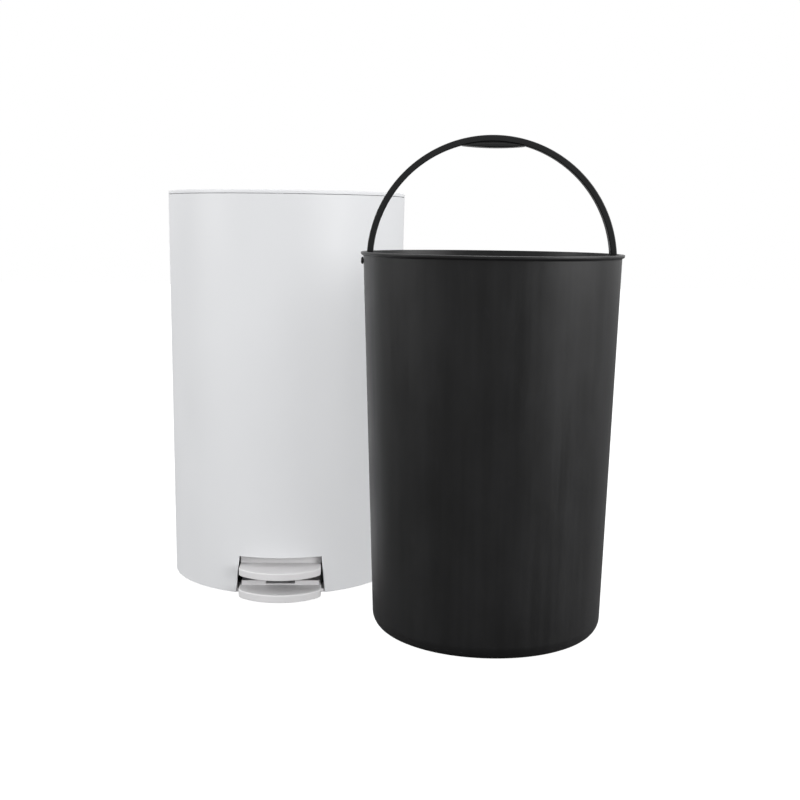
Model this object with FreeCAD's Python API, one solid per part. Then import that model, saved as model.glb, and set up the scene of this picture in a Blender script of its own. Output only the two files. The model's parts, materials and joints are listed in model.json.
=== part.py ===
import FreeCAD
import Part

import math
import os

# Pedal trash can with its lift-out bucket standing beside it. Millimetres, +Z up, front towards -Y.
# The origin is the centre of the can's base, on the surface that everything stands on.

Vec = FreeCAD.Vector
X, Y, Z = Vec(1, 0, 0), Vec(0, 1, 0), Vec(0, 0, 1)

# ---- driving dimensions: can ----
CAN_H = 400.0            # top edge of the shell
CAN_TOP_R = 125.0        # outer radius at the top edge
CAN_FOOT_R = 118.5       # outer radius at the floor
SHELL_WALL = 1.8
SHELL_FOOT_Z = 0.8       # the shell stops just above the floor
FIT = 0.1                # gap between pieces that are fastened together
PRESS_FIT = 0.02         # radial clearance of a pin that doesn't turn in its hole
BASE_FIT = 0.25          # gap round the base inside the shell

# ---- driving dimensions: base, with its fixed lower step ----
BASE_WALL = 2.2
FLOOR_TOP = 47.0         # the bucket stands on this floor inside the can
FLOOR_T = 2.5
FLANGE_IN_R = 96.0
FLANGE_TOP = 4.0
RING_IN_R, RING_OUT_R, RING_TOP = 98.0, 106.0, 2.0
RIB_T, RIB_IN_R, RIB_BOTTOM = 2.0, 32.0, 34.0
RIB_ANGLES = (0, 45, 135, 180, 225, 315)
ROD_HOLE_IN, ROD_HOLE_OUT = 3.0, 6.0     # the floor's hole for the push rod, either side of the rod
OPENING_FOOT_HALF = 45.0
OPENING_TOP_HALF = 41.5
OPENING_H = 38.3
OPENING_ROUND = 1.0
STEP_TOP = 8.5
STEP_FRONT = 146.5       # how far the lower step reaches in front of the can's axis
STEP_INNER = 70.0
STEP_HALF = 41.0
STEP_WALL = 2.2
STEP_ARC_R = 52.0        # radius of the steps' curved front
STEP_CORNER_R = 13.0
STEP_EDGE_ROUND = 1.2
STEP_RISER_Y, STEP_RISER_HALF, STEP_RISER_TOP = -110.0, 39.0, 13.0   # low wall behind the lower step
STEP_SILL_HALF, STEP_SILL_TOP = 14.5, 9.8                            # its dip, which the lever swings over
RISER_T = 2.0

# ---- driving dimensions: pedal ----
TREAD_BOTTOM, TREAD_TOP = 22.6, 29.6
TREAD_FRONT, TREAD_INNER, TREAD_HALF = 145.0, 72.0, 40.6
TREAD_TOP_T = 4.0
TREAD_RISER_Y, TREAD_RISER_TOP = -104.0, 40.0    # wall on the tread that closes the opening above it
LEVER_HALF, LEVER_T = 13.0, 2.5
LEVER_FRONT, LEVER_REAR = 117.0, 112.0
PIVOT_Y, PIVOT_Z = -36.0, 15.5
PIN_R = 2.0
RUN_FIT = 0.06           # radial clearance of a pin that turns
EAR_T, EAR_R = 2.5, 7.0
BRACKET_GAP = 1.0        # between the lever's ears and the base's brackets
BRACKET_T = 4.0
PIN_END = 2.5            # how far the pin stands out for its clip
PIN_HEAD_R, PIN_HEAD_T = 3.6, 1.5
CLIP_R, CLIP_T, CLIP_GAP = 4.0, 1.2, 0.2
TREAD_SCREW_X, TREAD_SCREW_Y = 7.0, -98.0
TREAD_SCREW_GRIP = 4.5   # how far the screws reach into the tread

# ---- driving dimensions: lid and its rear hinge ----
LID_BOTTOM, LID_TOP = 400.8, 404.0
LID_SKIN = 2.0
LID_RIM_IN_R = 121.0
LID_EDGE_ROUND = 1.4
LID_RIB_OUT_R, LID_RIB_T, LID_RIB_BOTTOM = 117.5, 2.0, 396.5
HINGE_Y, HINGE_Z = 138.2, 386.0
KNUCKLE_R, KNUCKLE_HALF = 5.5, 14.5
ARM_HALF, ARM_T, ARM_INNER_Y, ARM_OUTER_Y = 14.0, 2.5, 86.0, 122.2
ARM_WEB = [(-5.4, -1.0), (-11.0, 6.0), (-16.5, 12.3), (-16.5, 14.8), (-11.5, 14.8), (-7.0, 9.5), (-1.0, 5.4),
           (0.0, 0.0)]   # outline of the bend from plate to knuckle, as (y, z) from the hinge
PAD_MARGIN, PAD_START = 2.0, 4.0         # the lid's pad is larger than the arm's plate by these
LID_SCREW_X, LID_SCREW_Y = 8.0, 96.0
LID_SCREW_GRIP = 1.8     # how far the screws reach into the lid
NOTCH_HALF, NOTCH_Z = 17.0, 360.0
HOUSING_HALF, HOUSING_BACK = 22.0, 148.0
HOUSING_BOTTOM, HOUSING_TOP = 348.0, 390.5
HOUSING_WALL = 2.5
HOUSING_ROUND = 5.0
HOUSING_DEPTH = 30.0     # from the hinge to the front of the block that the housing is cut from
HOUSING_SCREW_X, HOUSING_SCREW_Z = 12.0, 354.0
HOUSING_SCREW_LENGTH = 9.0
HINGE_PIN_INSET = 0.5    # the pin ends this far inside the housing's faces

# ---- driving dimensions: push rod between the pedal lever and the lid's crank ----
ROD_R = 1.75
ROD_EYE = Vec(0, 107.0, 13.0)
ROD_KNEE = Vec(0, 120.0, 364.0)
ROD_TOP = Vec(0, 127.5, 377.2)
ROD_HOOK_X = 11.5
ROD_BEND_R = 4.0
EYE_GAP = 0.45           # clearance round the rod in the lever's eye
EYE_TRAVEL = 1.4         # the eye's extra length, as the lever's end swings in an arc
FORK_HALF = 3.5          # the lever's end is forked round the rod
CRANK_GAP = 1.0          # clearance across the crank's slot
CRANK_REACH_IN = 10.3
CRANK_RIM = 2.2          # material round the crank's slot
CRANK_X0, CRANK_X1 = 4.0, 7.5
LEVER_EYE_X0, LEVER_EYE_X1 = 4.0, 6.5
LEVER_EYE_FRONT, LEVER_EYE_DROP = 5.5, 5.0   # the eye's tab reaches this far in front of the rod and below it
FORK_DEPTH = 6.0
CAP_R, CAP_T, CAP_GAP = 3.4, 2.6, 0.6
GUIDE_HALF, GUIDE_H, GUIDE_DEPTH = 6.0, 12.0, 4.0
GUIDE_HEIGHTS = {"rod_guide_lower": 130.0, "rod_guide_upper": 300.0}

# ---- driving dimensions: fasteners and bumpers ----
SCREW_R, SCREW_HEAD_R, SCREW_HEAD_T = 1.5, 3.0, 1.8
SCREW_STAND = 1.0        # how far the housing screws' heads stand in front of the curved wall
PILOT_EXTRA = 0.3        # a pilot hole is deeper than its screw by this
BUMPER_R = 3.0
BUMPER_PLACE_R = 123.0
BUMPER_ANGLES = (150, 270, 30)
BUMPER_INSET = 0.5       # the dots stay this far inside the shell's outer edge

# ---- driving dimensions: bucket, bail and rivets ----
BUCKET_X, BUCKET_Y = 197.0, -204.0
BUCKET_H = 347.0
BUCKET_FOOT_R = 105.0
BUCKET_TAPER = 12.0 / 339.0      # growth of the radius with height
BUCKET_WALL, BUCKET_FLOOR_T = 2.0, 3.0
BUCKET_CORNER_R = 14.0
BUCKET_RECESS_R, BUCKET_RECESS_H = 84.0, 1.2
RIM_R, RIM_T = 119.5, 3.0
RIM_ROUND = 1.3
BAIL_Z = 338.8                   # height of the bail's pivots
BAIL_OUT_R, BAIL_IN_R, BAIL_HALF = 114.3, 108.5, 4.75
BAIL_BOSS_R = 8.0
GRIP_HALF_LENGTH, GRIP_HALF = 29.5, 9.0
GRIP_ROUND = 1.2
GRIP_OVERLAP = 1.0               # how far the grip reaches up into the arch
RIVET_R, RIVET_HEAD_R, RIVET_HEAD_T = 2.3, 3.3, 2.1
RIVET_HEAD_GAP = 0.25            # between the bucket's wall and the rivet's head
CLENCH_R, CLENCH_T = 3.8, 1.5
CLENCH_BITE = 0.5                # the shank starts this far inside the clench
REST_ANGLES = (55, 125, 235, 305)
REST_T, REST_REACH, REST_HALF = 3.0, 108.0, 5.0
REST_GAP = 0.35

# ---- worked out from the above ----
BIG = 400.0                      # a length past the whole can, for cutting tools
PAST = 1.0                       # how far a cutting tool runs past a face
NO_MOVE = Vec(0, 0, 0)
ROD_AXIS = (ROD_KNEE - ROD_EYE).normalize()
HINGE = Vec(0, HINGE_Y, HINGE_Z)
PIVOT = Vec(0, PIVOT_Y, PIVOT_Z)
PIN_REACH = LEVER_HALF + EAR_T + BRACKET_GAP + BRACKET_T     # to the brackets' outer faces


def shell_radius(z, inset=0.0):
    """Outer radius of the tapered shell at height z, less an inset."""
    return CAN_FOOT_R + (CAN_TOP_R - CAN_FOOT_R) * z / CAN_H - inset


def taper(bottom, top, inset):
    """A solid cone frustum that follows the shell's taper between two heights."""
    foot, head = shell_radius(bottom, inset), shell_radius(top, inset)
    return Part.makeCone(foot, head, top - bottom, Vec(0, 0, bottom))


def ring(inner, outer, bottom, top):
    """A flat ring about Z."""
    disc = Part.makeCylinder(outer, top - bottom, Vec(0, 0, bottom))
    return disc.cut(Part.makeCylinder(inner, top - bottom, Vec(0, 0, bottom)))


def block(x0, x1, y0, y1, z0, z1):
    """A box between two corners."""
    return Part.makeBox(x1 - x0, y1 - y0, z1 - z0, Vec(x0, y0, z0))


def bar_x(radius, x0, x1, centre):
    """A round bar along X through a point of the YZ plane."""
    return Part.makeCylinder(radius, x1 - x0, Vec(x0, centre.y, centre.z), X)


def prism(points, direction):
    """A closed outline swept straight along a direction."""
    return Part.Face(Part.makePolygon(points + points[:1])).extrude(direction)


def edges_where(shape, test):
    """The edges that pass a test."""
    return [edge for edge in shape.Edges if test(edge)]


def flat_at(height):
    """A test for the edges that lie in one horizontal plane."""
    return lambda e: abs(e.BoundBox.ZMin - height) < FIT and abs(e.BoundBox.ZMax - height) < FIT


def cluster(solids):
    """Separate solids of the same kind, kept apart in one node."""
    return Part.makeCompound(solids)


def screw(head_at, direction, length):
    """A pan-head screw: its head stands back from head_at, its shank goes along direction."""
    shank = Part.makeCylinder(SCREW_R, length, head_at, direction)
    head = Part.makeCylinder(SCREW_HEAD_R, SCREW_HEAD_T, head_at - direction * SCREW_HEAD_T, direction)
    return shank.fuse(head).removeSplitter()


# ---- can body ----

def pedal_opening(bottom, margin=0.0):
    """The tool that cuts the front opening: a trapezium, narrower at its rounded top."""
    slope = (OPENING_FOOT_HALF - OPENING_TOP_HALF) / OPENING_H
    foot = OPENING_FOOT_HALF - slope * bottom + margin
    top = OPENING_TOP_HALF + margin
    y0 = -BIG
    high = OPENING_H + margin
    corners = [Vec(-foot, y0, bottom), Vec(foot, y0, bottom), Vec(top, y0, high), Vec(-top, y0, high)]
    tool = prism(corners, Y * (BIG - FLANGE_IN_R + BASE_WALL))
    upper = edges_where(tool, lambda e: e.BoundBox.ZMin > OPENING_H - PAST and e.BoundBox.YLength > PAST)
    return tool.makeFillet(OPENING_ROUND, upper)


def screw_places(spread, y, z):
    """Two screw positions, side by side about the middle plane."""
    return [Vec(side * spread, y, z) for side in (-1, 1)]


HOUSING_SCREW_Y = shell_radius(HOUSING_SCREW_Z, SHELL_WALL) - SCREW_STAND
HOUSING_SCREWS = screw_places(HOUSING_SCREW_X, HOUSING_SCREW_Y, HOUSING_SCREW_Z)
LID_SCREWS = screw_places(LID_SCREW_X, LID_SCREW_Y, LID_BOTTOM - ARM_T)
TREAD_SCREWS = screw_places(TREAD_SCREW_X, TREAD_SCREW_Y, TREAD_BOTTOM - LEVER_T)


def outer_shell():
    """Tapered tube with a thin wall, a pedal opening in front and a notch for the hinge at the rear top."""
    shell = taper(SHELL_FOOT_Z, CAN_H, 0).cut(taper(0, CAN_H + PAST, SHELL_WALL))
    shell = shell.cut(pedal_opening(0))
    shell = shell.cut(block(-NOTCH_HALF, NOTCH_HALF, 0, BIG, NOTCH_Z, BIG * 2))
    for place in HOUSING_SCREWS:
        shell = shell.cut(Part.makeCylinder(SCREW_R + FIT, HOUSING_SCREW_LENGTH, place, Y))
    return shell


def step_outline(front, inner, half, bottom, inset=0.0):
    """Face of a half-moon step: straight sides, rounded corners and a shallow arc in front."""
    arc_r, corner_r, side = STEP_ARC_R - inset, STEP_CORNER_R - inset, half - inset
    centre_y = -(front - STEP_ARC_R)
    corner_x = half - STEP_CORNER_R
    corner_y = centre_y - math.sqrt((STEP_ARC_R - STEP_CORNER_R) ** 2 - corner_x ** 2)
    reach = Vec(corner_x, corner_y - centre_y, 0).normalize()
    join = Vec(corner_x, corner_y, bottom) + reach * corner_r
    half_way = math.atan2(reach.y, reach.x) / 2
    elbow = Vec(corner_x + corner_r * math.cos(half_way), corner_y + corner_r * math.sin(half_way), bottom)
    nose = Vec(0, centre_y - arc_r, bottom)
    right = Vec(side, corner_y, bottom)

    def mirrored(p):
        return Vec(-p.x, p.y, p.z)

    back = Vec(side, -inner, bottom)
    edges = [
        Part.makeLine(back, right),
        Part.Arc(right, elbow, join).toShape(),
        Part.Arc(join, nose, mirrored(join)).toShape(),
        Part.Arc(mirrored(join), mirrored(elbow), mirrored(right)).toShape(),
        Part.makeLine(mirrored(right), mirrored(back)),
        Part.makeLine(mirrored(back), back),
    ]
    return Part.Face(Part.Wire(edges))


def half_moon(front, inner, half, bottom, top, skin):
    """A half-moon step: a rounded top over a skirt, open underneath."""
    step = step_outline(front, inner, half, bottom).extrude(Z * (top - bottom))
    upper = edges_where(step, lambda e: flat_at(top)(e) and e.BoundBox.YMin < -inner - PAST)
    step = step.makeFillet(STEP_EDGE_ROUND, upper)
    hollow = step_outline(front, inner + STEP_WALL, half, bottom, STEP_WALL)
    return step.cut(hollow.extrude(Z * (top - bottom - skin)))


def lower_step():
    """The fixed half-moon step under the tread, with a low riser, notched to sit on the base's flange."""
    step = half_moon(STEP_FRONT, STEP_INNER, STEP_HALF, SHELL_FOOT_Z, STEP_TOP, STEP_WALL)
    foot, back = STEP_TOP - STEP_WALL / 2, STEP_RISER_Y + RISER_T
    riser = block(-STEP_RISER_HALF, STEP_RISER_HALF, STEP_RISER_Y, back, foot, STEP_RISER_TOP)
    dip = block(-STEP_SILL_HALF, STEP_SILL_HALF, STEP_RISER_Y, back, STEP_SILL_TOP, STEP_RISER_TOP)
    step = step.fuse(riser.cut(dip))
    return step.cut(ring(FLANGE_IN_R, CAN_FOOT_R, 0, FLANGE_TOP)).removeSplitter()


def base():
    """Floor for the bucket, its ring wall and flange, the lower step's seat and the pedal's brackets."""
    wall = taper(SHELL_FOOT_Z, FLOOR_TOP, SHELL_WALL + BASE_FIT)
    wall = wall.cut(taper(0, FLOOR_TOP + PAST, SHELL_WALL + BASE_FIT + BASE_WALL))
    inside = SHELL_WALL + BASE_FIT + BASE_WALL / 2
    floor = taper(FLOOR_TOP - FLOOR_T, FLOOR_TOP, inside)
    flange = taper(SHELL_FOOT_Z, FLANGE_TOP, inside).cut(Part.makeCylinder(FLANGE_IN_R, FLANGE_TOP + PAST))
    ceiling = FLOOR_TOP - FLOOR_T
    rib = block(RIB_IN_R, shell_radius(RIB_BOTTOM, inside), -RIB_T / 2, RIB_T / 2, RIB_BOTTOM, ceiling)
    ribs = [rib.rotated(NO_MOVE, Z, angle) for angle in RIB_ANGLES]
    wall = wall.cut(pedal_opening(FLANGE_TOP, BASE_FIT))
    ear_x = LEVER_HALF + EAR_T + BRACKET_GAP
    brackets = [pivot_ear(ear_x, ear_x + BRACKET_T, ceiling, PIN_R + PRESS_FIT)]
    brackets.append(brackets[0].mirror(NO_MOVE, X))
    body = wall.multiFuse([floor, flange] + ribs + brackets)
    body = body.cut(ring(RING_IN_R, RING_OUT_R, 0, RING_TOP))
    rod_hole = block(-GUIDE_HALF, GUIDE_HALF, ROD_EYE.y - ROD_HOLE_IN, ROD_EYE.y + ROD_HOLE_OUT, RIB_BOTTOM,
                     FLOOR_TOP + PAST)
    return body.cut(rod_hole).removeSplitter()


def pivot_ear(x0, x1, top, hole_r):
    """An upright ear round the pedal's pivot, rounded at its foot and reaching up to top."""
    ear = bar_x(EAR_R, x0, x1, PIVOT).fuse(block(x0, x1, PIVOT_Y - EAR_R, PIVOT_Y + EAR_R, PIVOT_Z, top))
    return ear.cut(bar_x(hole_r, x0 - PAST, x1 + PAST, PIVOT)).removeSplitter()


def anti_slip_ring():
    """Flat rubber ring let into the flange: the can stands on it."""
    return ring(RING_IN_R, RING_OUT_R, 0, RING_TOP)


def pivot_pin():
    """Steel pin through the brackets, with a flat head at one end."""
    head = bar_x(PIN_HEAD_R, -PIN_REACH - PIN_HEAD_T, -PIN_REACH, PIVOT)
    return bar_x(PIN_R, -PIN_REACH, PIN_REACH + PIN_END, PIVOT).fuse(head)


def pivot_clip():
    """Push-on washer that holds the pin at its other end."""
    start = PIN_REACH + CLIP_GAP
    stop = start + CLIP_T
    return bar_x(CLIP_R, start, stop, PIVOT).cut(bar_x(PIN_R, start, stop, PIVOT))


def hinge_housing():
    """Box on the back of the shell that carries the hinge pin and covers the crank."""
    front = HINGE_Y - HOUSING_DEPTH
    box = block(-HOUSING_HALF, HOUSING_HALF, front, HOUSING_BACK, HOUSING_BOTTOM, HOUSING_TOP)
    outer = edges_where(box, lambda e: e.BoundBox.YMin > HOUSING_BACK - PAST and e.BoundBox.ZLength > PAST)
    foot = edges_where(box, lambda e: e.BoundBox.YMin > HOUSING_BACK - PAST and flat_at(HOUSING_BOTTOM)(e))
    box = box.makeFillet(HOUSING_ROUND, outer + foot)
    box = box.cut(taper(HOUSING_BOTTOM - PAST, CAN_H, -FIT))
    box = box.cut(block(-NOTCH_HALF, NOTCH_HALF, 0, HOUSING_BACK - HOUSING_WALL, NOTCH_Z, HOUSING_TOP + PAST))
    box = box.cut(bar_x(PIN_R + PRESS_FIT, -HOUSING_HALF - PAST, HOUSING_HALF + PAST, HINGE))
    for place in HOUSING_SCREWS:
        box = box.cut(Part.makeCylinder(SCREW_R, HOUSING_SCREW_LENGTH + PILOT_EXTRA, place, Y))
    return box


def hinge_pin():
    """Steel pin that the lid turns on."""
    reach = HOUSING_HALF - HINGE_PIN_INSET
    return bar_x(PIN_R, -reach, reach, HINGE)


def housing_screws():
    """Two screws from inside the shell into the hinge housing."""
    return cluster([screw(place, Y, HOUSING_SCREW_LENGTH) for place in HOUSING_SCREWS])


def rod_guide(height):
    """Plastic block on the shell's inner wall that the push rod slides through."""
    along = (height + GUIDE_H / 2 - ROD_EYE.z) / ROD_AXIS.z
    centre = ROD_EYE + ROD_AXIS * along
    guide = block(-GUIDE_HALF, GUIDE_HALF, centre.y - GUIDE_DEPTH, BIG, height, height + GUIDE_H)
    guide = guide.common(taper(height - PAST, height + GUIDE_H + PAST, SHELL_WALL + FIT))
    return guide.cut(Part.makeCylinder(ROD_R + RUN_FIT, GUIDE_H * 2, centre - ROD_AXIS * GUIDE_H, ROD_AXIS))


# ---- lid ----

def lid():
    """Flat lid as wide as the can: a thin skin, a turned-down rim and a stiffening rib."""
    disc = Part.makeCylinder(CAN_TOP_R, LID_TOP - LID_BOTTOM, Vec(0, 0, LID_BOTTOM))
    disc = disc.makeFillet(LID_EDGE_ROUND, edges_where(disc, flat_at(LID_TOP)))
    recess = Part.makeCylinder(LID_RIM_IN_R, LID_TOP - LID_SKIN - LID_BOTTOM, Vec(0, 0, LID_BOTTOM))
    pad_half = ARM_HALF + PAD_MARGIN
    pad = block(-pad_half, pad_half, ARM_INNER_Y - PAD_START, BIG, LID_BOTTOM, LID_TOP)
    disc = disc.cut(recess.cut(pad))
    rib = ring(LID_RIB_OUT_R - LID_RIB_T, LID_RIB_OUT_R, LID_RIB_BOTTOM, LID_TOP - LID_SKIN / 2)
    rib = rib.cut(block(-pad_half, pad_half, 0, BIG, 0, LID_BOTTOM))
    disc = disc.fuse(rib).removeSplitter()
    for place in LID_SCREWS:
        disc = disc.cut(Part.makeCylinder(SCREW_R, ARM_T + LID_SCREW_GRIP + FIT, place, Z))
    return disc


def lid_bumper(angle):
    """Soft dot under the lid's rim that meets the top edge of the shell."""
    turn = math.radians(angle)
    centre = Vec(BUMPER_PLACE_R * math.cos(turn), BUMPER_PLACE_R * math.sin(turn), CAN_H)
    dot = Part.makeCylinder(BUMPER_R, LID_BOTTOM - CAN_H, centre)
    return dot.common(ring(LID_RIM_IN_R, CAN_TOP_R - BUMPER_INSET, CAN_H, LID_BOTTOM))


def crank_slot(x0, x1, reach_in, reach_out, half, aim):
    """A slot along the crank, from one reach to the other, rounded at both ends."""
    start, stop = HINGE + aim * reach_in, HINGE + aim * reach_out
    across = aim.cross(X) * half
    corners = (start + across, stop + across, stop - across, start - across)
    slot = prism([Vec(x0, p.y, p.z) for p in corners], X * (x1 - x0))
    return slot.fuse([bar_x(half, x0, x1, start), bar_x(half, x0, x1, stop)])


def lid_hinge_arm():
    """Plate under the lid, knuckle on the hinge pin and the slotted crank that the push rod lifts."""
    plate = block(-ARM_HALF, ARM_HALF, ARM_INNER_Y, ARM_OUTER_Y, LID_BOTTOM - ARM_T, LID_BOTTOM)
    web = prism([HINGE + Vec(-ARM_HALF, y, z) for y, z in ARM_WEB], X * (2 * ARM_HALF))
    knuckle = bar_x(KNUCKLE_R, -KNUCKLE_HALF, KNUCKLE_HALF, HINGE)
    aim = (ROD_TOP - HINGE).normalize()
    reach = HINGE.distanceToPoint(ROD_TOP)
    slot_half = ROD_R + CRANK_GAP
    crank = crank_slot(CRANK_X0, CRANK_X1, 0, reach, slot_half + CRANK_RIM, aim)
    arm = plate.fuse([web, knuckle, crank])
    arm = arm.cut(crank_slot(CRANK_X0 - PAST, CRANK_X1 + PAST, CRANK_REACH_IN, reach, slot_half, aim))
    arm = arm.cut(bar_x(PIN_R + RUN_FIT, -KNUCKLE_HALF - PAST, KNUCKLE_HALF + PAST, HINGE))
    for place in LID_SCREWS:
        arm = arm.cut(Part.makeCylinder(SCREW_R + FIT, ARM_T * 2, place - Z, Z))
    return arm.removeSplitter()


def lid_screws():
    """Two screws up through the hinge arm into the lid."""
    return cluster([screw(place, Z, ARM_T + LID_SCREW_GRIP) for place in LID_SCREWS])


# ---- pedal and push rod ----

def pedal_tread():
    """The moving half-moon step that the foot presses, with a riser behind the opening."""
    tread = half_moon(TREAD_FRONT, TREAD_INNER, TREAD_HALF, TREAD_BOTTOM, TREAD_TOP, TREAD_TOP_T)
    seat = block(-LEVER_HALF, LEVER_HALF, -LEVER_FRONT, -TREAD_INNER, TREAD_BOTTOM, TREAD_TOP - TREAD_TOP_T)
    foot, back = TREAD_TOP - TREAD_TOP_T / 2, TREAD_RISER_Y + RISER_T
    riser = block(-TREAD_HALF, TREAD_HALF, TREAD_RISER_Y, back, foot, TREAD_RISER_TOP)
    tread = tread.fuse([seat, riser]).removeSplitter()
    for place in TREAD_SCREWS:
        tread = tread.cut(Part.makeCylinder(SCREW_R, LEVER_T + TREAD_SCREW_GRIP + PILOT_EXTRA, place, Z))
    return tread


def pedal_lever():
    """Bent steel strip: tread at the front, ears on the pivot pin, slotted eye for the rod at the rear."""
    bottom = TREAD_BOTTOM - LEVER_T
    strip = block(-LEVER_HALF, LEVER_HALF, -LEVER_FRONT, LEVER_REAR, bottom, TREAD_BOTTOM)
    ear = pivot_ear(LEVER_HALF, LEVER_HALF + EAR_T, TREAD_BOTTOM, PIN_R + RUN_FIT)
    eye = block(LEVER_EYE_X0, LEVER_EYE_X1, ROD_EYE.y - LEVER_EYE_FRONT, LEVER_REAR,
                ROD_EYE.z - LEVER_EYE_DROP, TREAD_BOTTOM)
    lever = strip.fuse([ear, ear.mirror(NO_MOVE, X), eye])
    fork_y = ROD_EYE.y - FORK_DEPTH
    lever = lever.cut(block(-FORK_HALF, FORK_HALF, fork_y, BIG, bottom - PAST, TREAD_BOTTOM + PAST))
    half = ROD_R + EYE_GAP
    x0, x1 = LEVER_EYE_X0 - PAST, LEVER_EYE_X1 + PAST
    slot = block(x0, x1, ROD_EYE.y, ROD_EYE.y + EYE_TRAVEL, ROD_EYE.z - half, ROD_EYE.z + half)
    ends = [bar_x(half, x0, x1, ROD_EYE + Y * shift) for shift in (0, EYE_TRAVEL)]
    lever = lever.cut(slot.fuse(ends))
    for place in TREAD_SCREWS:
        lever = lever.cut(Part.makeCylinder(SCREW_R + FIT, LEVER_T * 2, place - Z, Z))
    return lever.removeSplitter()


def tread_screws():
    """Two screws up through the lever into the tread."""
    return cluster([screw(place, Z, LEVER_T + TREAD_SCREW_GRIP) for place in TREAD_SCREWS])


def bent_wire(points, radius, bend):
    """A round wire along straight runs that are joined by tangent arcs."""
    edges = []
    start = points[0]
    for before, corner, after in zip(points, points[1:], points[2:]):
        u, v = (before - corner).normalize(), (after - corner).normalize()
        turn = math.pi - u.getAngle(v)
        back = bend * math.tan(turn / 2)
        middle = corner + (u + v).normalize() * (bend / math.cos(turn / 2) - bend)
        edges.append(Part.makeLine(start, corner + u * back))
        edges.append(Part.Arc(corner + u * back, middle, corner + v * back).toShape())
        start = corner + v * back
    edges.append(Part.makeLine(start, points[-1]))
    path = Part.Wire(edges)
    profile = Part.Wire(Part.makeCircle(radius, points[0], points[1] - points[0]))
    return path.makePipeShell([profile], True, True)


def push_rod():
    """Steel wire with a hook at each end: into the lever's eye below and the lid's crank above."""
    hook = X * ROD_HOOK_X
    return bent_wire([ROD_EYE + hook, ROD_EYE, ROD_KNEE, ROD_TOP, ROD_TOP + hook], ROD_R, ROD_BEND_R)


def rod_caps():
    """Push-on caps that keep the rod's hooks in the eye and in the crank."""
    starts = ((ROD_EYE, LEVER_EYE_X1 + CAP_GAP), (ROD_TOP, CRANK_X1 + CAP_GAP))
    return cluster([bar_x(CAP_R, x, x + CAP_T, at).cut(bar_x(ROD_R, x, x + CAP_T, at)) for at, x in starts])


# ---- bucket and bail, made about the bucket's own axis ----

def bucket_radius(z, inset=0.0):
    """Outer radius of the tapered bucket at height z, less an inset."""
    return BUCKET_FOOT_R + BUCKET_TAPER * z - inset


def bucket_cone(bottom, inset, corner):
    """A solid of the bucket's taper with a rounded lower corner."""
    foot, head = bucket_radius(bottom, inset), bucket_radius(BUCKET_H, inset)
    cone = Part.makeCone(foot, head, BUCKET_H - bottom, Vec(0, 0, bottom))
    return cone.makeFillet(corner, edges_where(cone, flat_at(bottom)))


def bucket():
    """Tapered pail with a rounded foot, a thin outward rim, two pivot holes and four rests for the bail."""
    pail = bucket_cone(0, 0, BUCKET_CORNER_R)
    rim = Part.makeCylinder(RIM_R, RIM_T, Vec(0, 0, BUCKET_H - RIM_T))
    rim = rim.makeFillet(RIM_ROUND, edges_where(rim, lambda e: e.BoundBox.XLength > RIM_R))
    rest_top = BAIL_Z - BAIL_HALF - REST_GAP
    rest_end = bucket_radius(rest_top, BUCKET_WALL / 2)
    rest = block(REST_REACH, rest_end, -REST_HALF, REST_HALF, rest_top - REST_T, rest_top)
    hollow = bucket_cone(BUCKET_FLOOR_T, BUCKET_WALL, BUCKET_CORNER_R - BUCKET_WALL)
    pail = pail.fuse(rim).cut(hollow)
    pail = pail.fuse([rest.rotated(NO_MOVE, Z, angle) for angle in REST_ANGLES])
    pail = pail.cut(Part.makeCylinder(BUCKET_RECESS_R, BUCKET_RECESS_H))
    pivots = Vec(0, 0, BAIL_Z)
    return pail.cut(bar_x(RIVET_R + RUN_FIT, -BIG, BIG, pivots)).removeSplitter()


def bail():
    """Half-round carrying handle with a deeper grip, flat underneath, below its crown."""
    centre = Vec(0, 0, BAIL_Z)
    disc = Part.makeCylinder(BAIL_OUT_R, 2 * BAIL_HALF, centre - Y * BAIL_HALF, Y)
    disc = disc.cut(Part.makeCylinder(BAIL_IN_R, 2 * BAIL_HALF, centre - Y * BAIL_HALF, Y))
    arch = disc.common(block(-BIG, BIG, -BIG, BIG, BAIL_Z, BIG * 2))
    chord = math.sqrt(BAIL_IN_R ** 2 - GRIP_HALF_LENGTH ** 2)
    grip = Part.makeCylinder(BAIL_IN_R + GRIP_OVERLAP, 2 * GRIP_HALF, centre - Y * GRIP_HALF, Y)
    grip = grip.common(block(-GRIP_HALF_LENGTH, GRIP_HALF_LENGTH, -BIG, BIG, BAIL_Z + chord, BIG * 2))
    low = edges_where(grip, lambda e: flat_at(BAIL_Z + chord)(e) and e.BoundBox.XLength > PAST)
    grip = grip.makeFillet(GRIP_ROUND, low)
    bosses = [bar_x(BAIL_BOSS_R, x, x + BAIL_OUT_R - BAIL_IN_R, centre) for x in (-BAIL_OUT_R, BAIL_IN_R)]
    handle = arch.fuse([grip] + bosses)
    return handle.cut(bar_x(RIVET_R, -BIG, BIG, centre)).removeSplitter()


def bail_rivet(side):
    """Round-headed rivet through the bail's boss and the bucket's wall, with its head outside."""
    centre = Vec(0, 0, BAIL_Z)
    wall_x = bucket_radius(BAIL_Z) + RIVET_HEAD_GAP
    shank = bar_x(RIVET_R, BAIL_IN_R - CLENCH_BITE, wall_x, centre)
    head = bar_x(RIVET_HEAD_R, wall_x, wall_x + RIVET_HEAD_T, centre)
    head = head.makeFillet(RIVET_HEAD_T / 2, edges_where(head, lambda e: e.BoundBox.XMin > wall_x + PAST))
    clench = bar_x(CLENCH_R, BAIL_IN_R - CLENCH_T, BAIL_IN_R - FIT, centre)
    rivet = shank.fuse([head, clench]).removeSplitter()
    return rivet if side > 0 else rivet.rotated(NO_MOVE, Z, 180)


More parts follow.
